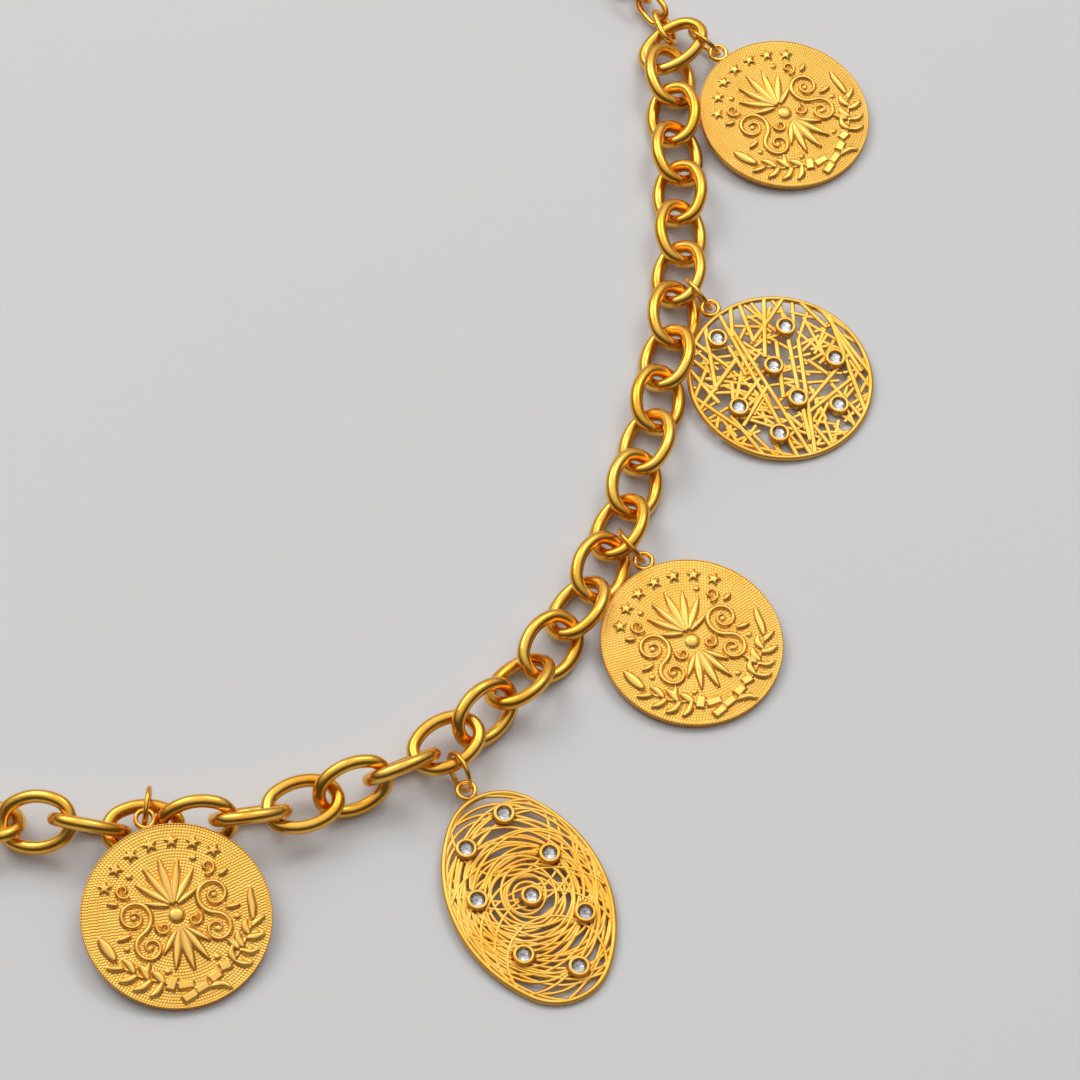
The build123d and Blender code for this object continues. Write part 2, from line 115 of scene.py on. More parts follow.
def ringPath(x, y, z, radius, count, ratio=1.0, turn=0.0):
    a = np.linspace(0, 2 * math.pi, count, endpoint=False)
    u, v = radius * np.cos(a), radius * np.sin(a) / ratio
    c, s = math.cos(math.radians(turn)), math.sin(math.radians(turn))
    return np.c_[x + u * c - v * s, y + u * s + v * c, np.full(count, z)]


# closed profile of (radius, height) turned about a point
def latheAt(x, y, profile, count):
    a = np.linspace(0, 2 * math.pi, count, endpoint=False)
    verts = [(x + r * math.cos(t), y + r * math.sin(t), z) for r, z in profile for t in a]
    faces = []
    for i in range(len(profile)):
        j = (i + 1) % len(profile)
        for k in range(count):
            l = (k + 1) % count
            faces.append((i * count + k, i * count + l, j * count + l, j * count + k))
    return verts, faces


# Catmull-Rom line through given points, sampled about every step
def smoothLine(points, step):
    p = [np.array(q, float) for q in points]
    p = [2 * p[0] - p[1]] + p + [2 * p[-1] - p[-2]]
    out = []
    for a, b, c, d in zip(p, p[1:], p[2:], p[3:]):
        count = max(2, int(np.linalg.norm(c - b) / step))
        for t in np.arange(count) / count:
            out.append(0.5 * (2 * b + (c - a) * t + (2 * a - 5 * b + 4 * c - d) * t ** 2
                              + (3 * b - a - 3 * c + d) * t ** 3))
    out.append(p[-2])
    return np.array(out)


def newMaterial(name):
    mat = bpy.data.materials.new(name)
    mat.use_nodes = True
    tree = mat.node_tree
    tree.nodes.clear()
    out = tree.nodes.new("ShaderNodeOutputMaterial")
    shader = tree.nodes.new("ShaderNodeBsdfPrincipled")
    tree.links.new(shader.outputs["BSDF"], out.inputs["Surface"])
    return mat, tree, shader


def addNode(tree, kind, inputs=(), **settings):
    node = tree.nodes.new(kind)
    for key, value in settings.items():
        setattr(node, key, value)
    for key, value in dict(inputs).items():
        if isinstance(value, bpy.types.NodeSocket):
            tree.links.new(value, node.inputs[key])
        else:
            node.inputs[key].default_value = value
    return node


def mathNode(tree, operation, first, second=None, third=None, clamp=False):
    node = tree.nodes.new("ShaderNodeMath")
    node.operation = operation
    node.use_clamp = clamp
    for index, value in enumerate((first, second, third)):
        if value is None:
            continue
        if isinstance(value, bpy.types.NodeSocket):
            tree.links.new(value, node.inputs[index])
        else:
            node.inputs[index].default_value = value
    return node.outputs[0]


def noiseNode(tree, vector, scale, detail=3.0, stretch=(1, 1, 1)):
    mapping = addNode(tree, "ShaderNodeMapping", {"Vector": vector, "Scale": stretch})
    noise = addNode(tree, "ShaderNodeTexNoise", {"Vector": mapping.outputs[0], "Scale": scale, "Detail": detail})
    return noise.outputs["Fac"]


def rampNode(tree, factor, stops):
    node = tree.nodes.new("ShaderNodeValToRGB")
    tree.links.new(factor, node.inputs[0])
    ramp = node.color_ramp
    while len(ramp.elements) < len(stops):
        ramp.elements.new(0.5)
    for element, (place, colour) in zip(ramp.elements, stops):
        element.position = place
        element.color = (*colour, 1)
    return node.outputs["Color"]


def rangeNode(tree, value, low, high):
    node = addNode(tree, "ShaderNodeMapRange", {"Value": value, "To Min": low, "To Max": high})
    return node.outputs[0]


# gold of the chains, rings and clasp
chainGold = {
    "colour": (0.91, 0.52, 0.094),
    "deepColour": (0.86, 0.39, 0.036),
    "roughness": (0.18, 0.29),
    "wobbleSize": 2.2 * mm,       # slow unevenness left by tumbling
    "wobbleDepth": 0.010 * mm,
    "scratchSize": 0.10 * mm,
    "scratchDepth": 0.0024 * mm,
}


def makeGold(name, look):
    mat, tree, shader = newMaterial(name)
    place = addNode(tree, "ShaderNodeTexCoord").outputs["Object"]
    slow = noiseNode(tree, place, 1 / look["wobbleSize"], 2.0)
    fine = noiseNode(tree, place, 1 / look["scratchSize"], 4.0, (1.0, 0.35, 1.0))
    patch = noiseNode(tree, place, 0.4 / look["wobbleSize"], 4.0)
    colour = rampNode(tree, patch, [(0.35, look["deepColour"]), (0.62, look["colour"])])
    tree.links.new(colour, shader.inputs["Base Color"])
    shader.inputs["Metallic"].default_value = 1.0
    tree.links.new(rangeNode(tree, fine, *look["roughness"]), shader.inputs["Roughness"])
    bumpA = addNode(tree, "ShaderNodeBump", {"Height": slow, "Strength": 0.6, "Distance": look["wobbleDepth"]})
    bumpB = addNode(tree, "ShaderNodeBump", {"Height": fine, "Strength": 0.6,
                                             "Distance": look["scratchDepth"], "Normal": bumpA.outputs[0]})
    tree.links.new(bumpB.outputs[0], shader.inputs["Normal"])
    return mat


# duller gold of the medallions' openwork
openworkGold = {
    "colour": (0.87, 0.515, 0.112),
    "deepColour": (0.82, 0.42, 0.058),
    "roughness": (0.36, 0.48),
    "wobbleSize": 1.6 * mm,
    "wobbleDepth": 0.016 * mm,
    "scratchSize": 0.12 * mm,
    "scratchDepth": 0.003 * mm,
}

polishedGold = makeGold("polishedGold", chainGold)
satinGold = makeGold("satinGold", openworkGold)

replacedNodes = {"coin_front", "coin_middle", "coin_back", "medallion_oval", "medallion_round"}
for name, node in nodes.items():
    if name in replacedNodes or "_stone_" in name:
        continue
    for slot in node.material_slots:
        slot.material = polishedGold
print("chains, rings and clasp dressed")


# where the charms lie: bottom middle in mm, bearing of the loop and its rise in degrees
charmPlaces = {
    "coin_front": ((20.456, -70.730, 2.228), 114.00, 11.69),
    "medallion_oval": ((60.494, -63.789, 0.701), 123.00, 2.85),
    "coin_middle": ((77.450, -28.345, 0.856), 122.00, 4.47),
    "medallion_round": ((86.367, 10.574, 0.854), 136.00, 4.19),
    "coin_back": ((85.073, 50.722, 1.126), 138.00, 5.87),
}


def charmMatrix(name):
    spot, bearing, rise = charmPlaces[name]
    turn = Matrix.Rotation(math.radians(bearing), 4, "Z") @ Matrix.Rotation(-math.radians(rise), 4, "Y")
    return Matrix.Translation(Vector(spot) * mm) @ turn @ Matrix.Scale(mm, 4)


def placed(name, verts):
    matrix = np.array(charmMatrix(name))
    return np.asarray(verts, float) @ matrix[:3, :3].T + matrix[:3, 3]


coin = {
    "radius": 11.0,
    "thickness": 0.9,
    "rimWidth": 0.24,
    "fieldDepth": 0.05,
    "reliefHeight": 0.42,
    "rowPitch": 0.36,        # rows of fine beads round the field
    "beadPitch": 0.34,
    "beadDepth": 0.050 * mm,
    "grainSize": 0.12 * mm,
    "grainDepth": 0.006 * mm,
    "patchSize": 3.0 * mm,
    "reedCount": 210,        # upright reeds round the edge
    "rings": 112,            # mesh of the face
    "spokes": 480,
    "loopHole": 1.5,
    "loopWire": 0.6,
    "loopSink": 0.25,
    # colour is also the painted light on bead tops and the relief, and deepColour the painted shade between beads and
    # reeds and on the low field; both also carry random tone
    "colour": (0.90, 0.535, 0.125),
    "deepColour": (0.82, 0.38, 0.048),
    "roughness": (0.34, 0.46),
}

# ornament in the middle of the coin, along and across its axis toward the loop, in mm;
# each row is laid again mirrored
scrolls = [
    # along, across, outer radius, start bearing, turn, half width
    (1.05, 4.80, 2.15, 193, 540, 0.37),
    (-2.86, 3.97, 1.80, 13, 480, 0.35),
    (4.45, 5.05, 0.90, 200, -400, 0.27),
    (-1.05, 1.85, 0.85, 60, 400, 0.27),
]
petals = [
    # foot along, foot across, bearing, length, half width
    (1.45, 0.00, 0, 5.60, 0.66),
    (1.55, 0.22, 21, 5.20, 0.57),
    (1.50, 0.44, 43, 4.50, 0.53),
    (1.25, 0.60, 67, 3.00, 0.44),
    (-1.60, 0.00, 180, 5.20, 0.64),
    (-1.65, 0.22, 158, 4.90, 0.55),
    (-1.70, 0.50, 136, 3.20, 0.46),
    (-4.50, 4.70, 150, 1.80, 0.42),
    (-0.82, 5.70, 95, 1.60, 0.42),
    (3.10, 6.10, 68, 1.20, 0.38),
]
pearls = [
    # along, across, radius
    (0.00, 0.00, 0.95),
    (5.95, 3.85, 0.42),
    (-6.05, 2.95, 0.42),
    (-2.15, 6.60, 0.42),
    (1.05, 4.80, 0.42),
    (-2.86, 3.97, 0.38),
]
ornament = {"degreeStep": 3, "closing": 0.80, "taper": 0.45, "roundness": 0.5}
stars = {
    "count": 7, "spacing": 16.3, "turn": 3.0, "ring": 8.8, "size": 1.08, "waist": 0.50,
    "height": 0.8, "bevel": 0.25, "roundness": 0.7,
}
# wreath of two branches, charted upright with the loop at the upper left: right and up in mm
wreath = {
    "turn": -118.0,           # from the upright chart to the loop's bearing
    "stemWidth": 0.16, "stemHeight": 0.6, "stemRoundness": 0.75,
    "leafRoundness": 0.42,
    "ribbonHeight": 0.9, "ribbonBevel": 0.16, "ribbonRoundness": 0.6,
}
# from stem to tip, and half width
leaves = [
    ([(-6.05, -6.45), (-7.05, -5.45), (-8.15, -4.45)], 0.67),
    ([(-3.55, -7.60), (-4.15, -6.85), (-5.05, -6.35)], 0.49),
    ([(-1.85, -8.00), (-2.45, -7.15), (-3.15, -6.65)], 0.51),
    ([(-0.05, -8.10), (-0.65, -7.55), (-1.45, -7.15)], 0.55),
    ([(-4.95, -7.40), (-5.75, -7.55), (-6.65, -7.65)], 0.37),
    ([(-3.25, -8.05), (-3.95, -8.55), (-4.85, -8.95)], 0.44),
    ([(-1.55, -8.35), (-2.25, -9.15), (-3.15, -9.60)], 0.46),
    ([(-0.15, -8.35), (-0.50, -9.25), (-1.15, -10.00)], 0.44),
    ([(8.65, 1.25), (8.35, 2.45), (7.95, 3.55), (7.65, 4.85)], 0.49),
    ([(8.45, -0.65), (7.95, 0.05), (7.85, 0.95)], 0.49),
    ([(8.05, -2.25), (7.45, -1.55), (7.25, -0.75)], 0.51),
    ([(7.45, -4.05), (6.95, -3.35), (6.85, -2.45)], 0.46),
    ([(8.75, 0.35), (9.25, 1.05), (9.85, 1.75)], 0.37),
    ([(8.55, -1.15), (9.35, -0.85), (10.15, -0.35)], 0.49),
    ([(8.15, -2.75), (9.05, -2.75), (9.85, -2.35)], 0.39),
    ([(7.65, -4.15), (8.55, -4.25), (9.45, -4.05)], 0.37),
    ([(5.55, -7.45), (6.65, -7.00), (7.65, -7.25)], 0.41),
]
# from end to end, and half width
ribbons = [
    ([(1.07, -7.19), (0.88, -8.91)], 0.59),
    ([(1.60, -8.26), (3.50, -7.54)], 0.56),
    ([(2.53, -9.76), (3.87, -8.54)], 0.56),
    ([(3.73, -8.46), (5.07, -7.24)], 0.56),
    ([(5.10, -6.92), (6.15, -5.68)], 0.61),
    ([(5.92, -5.29), (7.18, -4.46)], 0.59),
]
stems = [
    [(-6.15, -6.25), (-5.05, -7.15), (-3.75, -7.70), (-2.55, -8.00), (-1.35, -8.10), (0.05, -8.15), (0.85, -8.15)],
    [(7.15, -4.55), (7.75, -3.15), (8.15, -1.85), (8.45, -0.55), (8.65, 0.75), (8.65, 1.55)],
]


# heights above the field on a polar grid, as rings x spokes
def buildRelief():
    radii = np.linspace(0, coin["radius"] - coin["rimWidth"], coin["rings"])
    angles = np.linspace(0, 2 * math.pi, coin["spokes"], endpoint=False)
    r, a = np.meshgrid(radii, angles, indexing="ij")
    x, y = r * np.cos(a), r * np.sin(a)
    height = np.zeros_like(x)

    # every sample of the line may have a half width of its own
    def ridge(line, halfWidth, top, roundness):
        halfWidth = np.broadcast_to(halfWidth, len(line))
        reach = halfWidth.max()
        near = ((x > line[:, 0].min() - reach) & (x < line[:, 0].max() + reach)
                & (y > line[:, 1].min() - reach) & (y < line[:, 1].max() + reach))
        px, py = x[near], y[near]
        best = height[near]
        for (lx, ly), w in zip(line, halfWidth):
            d = ((px - lx) ** 2 + (py - ly) ** 2) / w ** 2
            best = np.maximum(best, top * np.clip(1 - d, 0, 1) ** roundness)
        height[near] = best

    def fromChart(points):
        c, s = math.cos(math.radians(wreath["turn"])), math.sin(math.radians(wreath["turn"]))
        return np.asarray(points) @ np.array([[c, s], [-s, c]])

    top = coin["reliefHeight"]
    for side in (1, -1):
        for along, across, radius, begin, turn, halfWidth in scrolls:
            t = np.linspace(0, 1, int(abs(turn) / ornament["degreeStep"]))
            bearing = np.radians(begin + turn * t)
            reach = radius * (1 - ornament["closing"] * t)
            line = np.c_[along + reach * np.cos(bearing), side * (across + reach * np.sin(bearing))]
            ridge(line, halfWidth * (1 - ornament["taper"] * t), top, ornament["roundness"])
        for along, across, bearing, length, halfWidth in petals:
            t = np.linspace(0, 1, 50)
            run = math.radians(bearing)
            line = np.c_[along + length * t * math.cos(run), side * (across + length * t * math.sin(run))]
            ridge(line, halfWidth * np.sin(math.pi * (0.08 + 0.90 * t)) ** 0.8, top, ornament["roundness"])
        for along, across, radius in pearls:
            lift = top * min(1, 0.3 + 0.7 * radius)
            ridge(np.array([(along, side * across)]), radius, lift, ornament["roundness"])

    for k in range(stars["count"]):
        bearing = stars["turn"] + (k - (stars["count"] - 1) / 2) * stars["spacing"]
        c, s = math.cos(math.radians(bearing)), math.sin(math.radians(bearing))
        u = x * c + y * s - stars["ring"]
        v = -x * s + y * c
        fold = math.radians(72)
        angle = np.abs((np.arctan2(v, u) + fold / 2) % fold - fold / 2)
        # distance inside the arm's straight edge, so that each arm has a crest
        inner = stars["size"] * stars["waist"]
        edge = math.atan2(inner * math.sin(fold / 2), stars["size"] - inner * math.cos(fold / 2))
        out = np.hypot(u, v)
        inside = (stars["size"] - out * np.cos(angle)) * math.sin(edge) - out * np.sin(angle) * math.cos(edge)
        star = np.clip(inside / stars["bevel"], 0, 1) ** stars["roundness"]
        height = np.maximum(height, top * stars["height"] * star)

    for points in stems:
        line = fromChart(smoothLine(points, 0.08))
        ridge(line, wreath["stemWidth"], top * wreath["stemHeight"], wreath["stemRoundness"])
    for points, halfWidth in leaves:
        line = smoothLine(points, 0.06)
        t = np.linspace(0, 1, len(line))
        width = halfWidth * np.sin(math.pi * np.clip(0.12 + 0.86 * t, 0, 1)) ** 0.6 + 0.03
        ridge(fromChart(line), width, top, wreath["leafRoundness"])
    for (start, stop), halfWidth in ribbons:
        (ax, ay), (bx, by) = fromChart([start, stop])
        length = math.hypot(bx - ax, by - ay)
        ux, uy = (bx - ax) / length, (by - ay) / length
        along = (x - ax) * ux + (y - ay) * uy
        across = np.abs((y - ay) * ux - (x - ax) * uy)
        inside = np.minimum(np.minimum(along, length - along), halfWidth - across)
        block = np.clip(inside / wreath["ribbonBevel"], 0, 1) ** wreath["ribbonRoundness"]
        height = np.maximum(height, top * wreath["ribbonHeight"] * block)
    return radii, angles, height


def buildCoin():
    radii, angles, height = buildRelief()
    rings, spokes = height.shape
    field = coin["thickness"] - coin["fieldDepth"]
    verts, uv, relief = [], [], []

    def addRing(radius, z, uvRadius, values=None):
        for k, a in enumerate(angles):
            c, s = math.cos(a), math.sin(a)
            verts.append((radius * c, radius * s, z if values is None else z + values[k]))
            uv.append((uvRadius * c, uvRadius * s))
            relief.append(0.0 if values is None else values[k] / coin["reliefHeight"])

    for i in range(rings):
        addRing(max(radii[i], 0.01), field, max(radii[i], 0.01), height[i])
    edge, face = coin["radius"], coin["thickness"]
    # inward from the edge and height: rim, edge, then the back, whose rows count on past the edge's
    outer = [(0.20, face - 0.03), (0.16, face), (0.10, face), (0.03, face - 0.03), (0.0, face - 0.10),
             (0.0, 0.10), (0.03, 0.03), (0.10, 0), (0.30, 0), (0.36, 0.03),
             (0.42, 0.09), (2.5, 0.09), (2.6, 0.05), (2.8, 0.05), (2.9, 0.09)]
    for inward, z in outer:
        radius = edge - inward
        addRing(radius, z, radius if z > face / 2 else 2 * edge + 1 - radius)
    addRing(0.01, 0.09, 2 * edge + 1)
    total = rings + len(outer) + 1
    faces = []
    for i in range(total - 1):
        for k in range(spokes):
            l = (k + 1) % spokes
            faces.append((i * spokes + k, (i + 1) * spokes + k, (i + 1) * spokes + l, i * spokes + l))
    faces.append(tuple(range(spokes)))
    faces.append(tuple((total - 1) * spokes + k for k in range(spokes))[::-1])
    return verts, faces, uv, relief


def makeCoinGold():
    mat, tree, shader = newMaterial("coinGold")
    uv = addNode(tree, "ShaderNodeUVMap", uv_map="face").outputs[0]
    split = addNode(tree, "ShaderNodeSeparateXYZ", {0: uv})
    radius = addNode(tree, "ShaderNodeVectorMath", {0: uv}, operation="LENGTH").outputs["Value"]
    turn = mathNode(tree, "DIVIDE", mathNode(tree, "ARCTAN2", split.outputs[1], split.outputs[0]), 2 * math.pi)
    row = mathNode(tree, "DIVIDE", radius, coin["rowPitch"])
    rowNumber = mathNode(tree, "FLOOR", row)
    rowWave = mathNode(tree, "SINE", mathNode(tree, "MULTIPLY", mathNode(tree, "FRACT", row), math.pi))
    beads = mathNode(tree, "ROUND", mathNode(tree, "MULTIPLY", rowNumber,
                                             2 * math.pi * coin["rowPitch"] / coin["beadPitch"]))
    shift = mathNode(tree, "MULTIPLY", rowNumber, 0.5)
    bead = mathNode(tree, "ADD", mathNode(tree, "MULTIPLY", turn, beads), shift)
    beadWave = mathNode(tree, "ABSOLUTE", mathNode(tree, "SINE", mathNode(tree, "MULTIPLY", bead, math.pi)))
    dots = mathNode(tree, "MULTIPLY", beadWave, mathNode(tree, "MULTIPLY_ADD", rowWave, 0.8, 0.2))
    raised = addNode(tree, "ShaderNodeAttribute", attribute_name="relief").outputs["Fac"]
    flat = mathNode(tree, "SUBTRACT", 1.0, mathNode(tree, "MULTIPLY", raised, 4.0, clamp=True), clamp=True)
    # the edge has upright reeds instead of rows
    onEdge = mathNode(tree, "MULTIPLY", mathNode(tree, "GREATER_THAN", radius, coin["radius"] - 0.02),
                      mathNode(tree, "LESS_THAN", radius, coin["radius"] + 1.02))
    reeds = mathNode(tree, "SINE", mathNode(tree, "MULTIPLY", turn, 2 * math.pi * coin["reedCount"]))
    pattern = mathNode(tree, "MULTIPLY", dots, flat)
    pattern = mathNode(tree, "ADD", mathNode(tree, "MULTIPLY", pattern, mathNode(tree, "SUBTRACT", 1.0, onEdge)),
                       mathNode(tree, "MULTIPLY", reeds, onEdge))
    place = addNode(tree, "ShaderNodeTexCoord").outputs["Object"]
    grain = noiseNode(tree, place, 1 / coin["grainSize"], 3.0)
    patch = noiseNode(tree, place, 1 / coin["patchSize"], 4.0)
    # painted light and shade: bead tops, reed crests and the raised relief are painted lighter, and the gaps between
    # beads and reeds and the low field round the relief darker; the patch noise adds random darker tone
    tone = mathNode(tree, "ADD", mathNode(tree, "MULTIPLY", pattern, 0.45), mathNode(tree, "MULTIPLY", raised, 0.5))
    tone = mathNode(tree, "ADD", tone, mathNode(tree, "MULTIPLY", patch, 0.55), clamp=True)
    colour = rampNode(tree, tone, [(0.18, coin["deepColour"]), (0.62, coin["colour"])])
    tree.links.new(colour, shader.inputs["Base Color"])
    shader.inputs["Metallic"].default_value = 1.0
    tree.links.new(rangeNode(tree, grain, *coin["roughness"]), shader.inputs["Roughness"])
    bumpA = addNode(tree, "ShaderNodeBump", {"Height": pattern, "Strength": 1.0, "Distance": coin["beadDepth"]})
    bumpB = addNode(tree, "ShaderNodeBump", {"Height": grain, "Strength": 0.5, "Distance": coin["grainDepth"],
                                             "Normal": bumpA.outputs[0]})
    tree.links.new(bumpB.outputs[0], shader.inputs["Normal"])
    return mat


# soldered loop with its little foot of solder
def addLoop(shape, reach, height, kind):
    major = (coin["loopHole"] + coin["loopWire"]) / 2
    x = reach + coin["loopHole"] / 2 + coin["loopWire"] - coin["loopSink"]
    path = ringPath(x, 0, height, major, 56)
    verts, faces = sweepTube(path, coin["loopWire"] / 2, coin["loopWire"] / 2, True, 16)
    shape.add(verts, faces, kind)
    foot = [(0.02, -0.26), (0.30, -0.20), (0.42, 0.0), (0.30, 0.20), (0.02, 0.26)]
    verts, faces = latheAt(reach + 0.02, 0, [(r, height + z) for r, z in foot], 20)
    shape.add(verts, faces, kind)


coinGold = makeCoinGold()
coinVerts, coinFaces, coinUv, coinRelief = buildCoin()
loop = Shape()
addLoop(loop, coin["radius"], coin["thickness"] / 2, 1)
for name in ("coin_front", "coin_middle", "coin_back"):
    verts = list(coinVerts) + loop.verts
    faces = list(coinFaces) + [tuple(len(coinVerts) + i for i in face) for face in loop.faces]
    kinds = [0] * len(coinFaces) + loop.kinds
    uv = list(coinUv) + [(30.0, 0.0)] * len(loop.verts)     # outside the coin's own rows
    relief = list(coinRelief) + [0.0] * len(loop.verts)
    piece = makePiece("dressed_" + name, placed(name, verts), faces, [coinGold, polishedGold], kinds, uv, relief)
    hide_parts(name)
    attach(piece, "root")
print("coins made:", len(coinFaces), "faces each")


collar = {"radius": 1.275, "height": 1.25, "mouth": 0.855, "lip": 0.10, "seatDepth": 0.56}
stone = {
    "radius": 0.80, "folds": 8, "table": 0.50, "crown": 0.22, "pavilion": 0.20, "girdle": 0.03, "culet": 0.03,
    "sink": 0.30,            # girdle below the collar's top
    "glass": (1.0, 1.0, 1.0), "refraction": 1.7,
    "foil": (0.96, 0.95, 0.98), "foilMetal": 0.8, "foilRoughness": 0.15,
}


def addCollar(shape, x, y):
    outer, top, mouth, lip = collar["radius"], collar["height"], collar["mouth"], collar["lip"]
    profile = [
        (mouth, top - collar["seatDepth"]), (mouth, top - lip), (mouth + 0.03, top - 0.04), (mouth + 0.09, top - 0.01),
        ((mouth + outer) / 2, top), (outer - 0.09, top - 0.02), (outer - 0.03, top - 0.07), (outer, top - 0.16),
        (outer, 0.12), (outer - 0.04, 0.04), (outer - 0.12, 0.0), (0.45, 0.0), (0.36, 0.06),
    ]
    shape.add(*latheAt(x, y, profile[::-1], 40))


# eight-fold brilliant: table, star, main and break facets above, mains below
def addStone(shape, x, y, girdleLevel):
    outer, n = stone["radius"], stone["folds"]
    table, crown, pavilion = stone["table"], stone["crown"], stone["pavilion"]

    def ring(radius, z, count, shift):
        turn = 2 * math.pi / count
        return [(x + radius * math.cos((k + shift) * turn), y + radius * math.sin((k + shift) * turn), z)
                for k in range(count)]

    top = ring(table, girdleLevel + crown, n, 0.0)
    mid = ring((outer + table) / 2 + 0.03, girdleLevel + crown * 0.58, n, 0.5)
    upper = ring(outer, girdleLevel + stone["girdle"] / 2, 2 * n, 0.0)
    lower = ring(outer, girdleLevel - stone["girdle"] / 2, 2 * n, 0.0)
    half = ring(outer * 0.48, girdleLevel - pavilion * 0.52, n, 0.5)
    tip = ring(stone["culet"], girdleLevel - pavilion, n, 0.0)
    verts = top + mid + upper + lower + half + tip
    iTop, iMid, iUp, iLow, iHalf, iTip = 0, n, 2 * n, 4 * n, 6 * n, 7 * n
    faces, kinds = [tuple(range(n))], [0]
    for k in range(n):
        l = (k + 1) % n
        before = (k - 1) % n
        faces += [
            (iTop + k, iMid + k, iTop + l),                               # star
            (iTop + l, iMid + k, iUp + 2 * l, iMid + l),                  # main
            (iMid + k, iUp + 2 * k, iUp + 2 * k + 1),                     # breaks
            (iMid + k, iUp + 2 * k + 1, iUp + (2 * k + 2) % (2 * n)),
        ]
        kinds += [0] * 4
        for h in (2 * k, 2 * k + 1):
            nextH = (h + 1) % (2 * n)
            faces.append((iUp + h, iLow + h, iLow + nextH, iUp + nextH))
            kinds.append(0)
        faces += [
            (iLow + 2 * k, iHalf + k, iLow + 2 * k + 1),
            (iLow + 2 * k + 1, iHalf + k, iLow + (2 * k + 2) % (2 * n)),
            (iLow + 2 * k, iHalf + before, iTip + k, iHalf + k),
        ]
        kinds += [1] * 3
    faces.append(tuple(iTip + k for k in range(n))[::-1])
    kinds.append(1)
    shape.add(verts, faces, kinds)


def makeStoneMaterials():
    glass, tree, shader = newMaterial("stoneGlass")
    shader.inputs["Base Color"].default_value = (*stone["glass"], 1)
    shader.inputs["Transmission Weight"].default_value = 1.0
    shader.inputs["IOR"].default_value = stone["refraction"]
    place = addNode(tree, "ShaderNodeTexCoord").outputs["Object"]
    rough = noiseNode(tree, place, 1 / (0.4 * mm), 2.0)
    tree.links.new(rangeNode(tree, rough, 0.0, 0.03), shader.inputs["Roughness"])
    foil, tree, shader = newMaterial("stoneFoil")
    place = addNode(tree, "ShaderNodeTexCoord").outputs["Object"]
    tone = noiseNode(tree, place, 1 / (0.5 * mm), 1.0)
    low = tuple(0.6 * v for v in stone["foil"])
    tree.links.new(rampNode(tree, tone, [(0.38, low), (0.58, stone["foil"])]), shader.inputs["Base Color"])
    shader.inputs["Metallic"].default_value = stone["foilMetal"]
    shader.inputs["Roughness"].default_value = stone["foilRoughness"]
    return [glass, foil]


stoneMaterials = makeStoneMaterials()


rimWire = 0.7                # of both medallions
roundOne = {
    "radius": 11.7, "barHeight": 0.15, "barWidth": 0.31, "level": 0.52,
    "lowWidth": 0.28, "lowLevel": 0.36,
    "waver": 0.02, "sink": 0.12, "nib": 0.05,
}
# middles of the collars, as shares of the radius, with the loop along the first
roundStones = [(0.756, 0.214), (0.405, -0.455), (-0.213, -0.605), (0.133, -0.025),
               (-0.316, 0.040), (-0.003, 0.605), (-0.649, -0.245), (-0.505, 0.489)]
# bars, seen upright: both ends right and up of the middle in mm
bars = [
    (-7.8, 7.6, 2.5, -10.5), (-6.5, 6.3, 4.2, -10.2), (-2.6, 11.5, -2.0, 2.6), (-0.7, 5.0, 0.6, -2.9),
    (0.8, 5.5, 2.6, -2.5), (2.0, 5.8, 4.9, -10.2), (3.1, -4.2, 4.2, -8.5), (6.1, 8.7, 10.8, -3.4),
    (2.8, 10.4, 5.5, 7.9), (6.0, 8.7, 10.6, 2.8), (5.4, 9.7, 9.1, 7.2), (-9.6, 5.6, -7.8, -3.0),
    (-10.5, 3.3, -6.2, 0.4), (-11.2, 1.2, -8.8, -0.5), (-11.1, -0.6, -7.4, -4.7),
    (-9.4, -4.9, -3.1, -8.8), (-9.9, -1.9, -7.3, -4.7), (-5.8, -6.3, -2.0, -10.7),
    (-10.4, -4.2, -9.2, 0.0), (-9.4, -5.4, -5.5, 1.9), (-4.4, -4.0, -2.5, -0.5),
    (-4.2, -7.6, -1.4, -1.3), (-8.0, -2.7, -5.5, 2.1), (-2.0, 7.7, -0.1, 11.6), (-3.7, 4.6, -1.8, 8.2),
    (3.7, -3.2, 8.4, 4.3), (3.8, -4.6, 8.9, 0.9), (-6.7, 9.4, -6.2, 5.0), (-5.7, 10.0, -3.5, 4.6),
    (6.7, 7.3, 10.1, 2.1), (6.4, -0.1, 10.6, -4.7), (1.1, -5.1, 3.1, -6.8), (4.5, -6.3, 6.8, -9.1),
    (3.3, 2.9, 5.9, 1.2), (-6.7, 3.6, -4.2, -0.3),
]
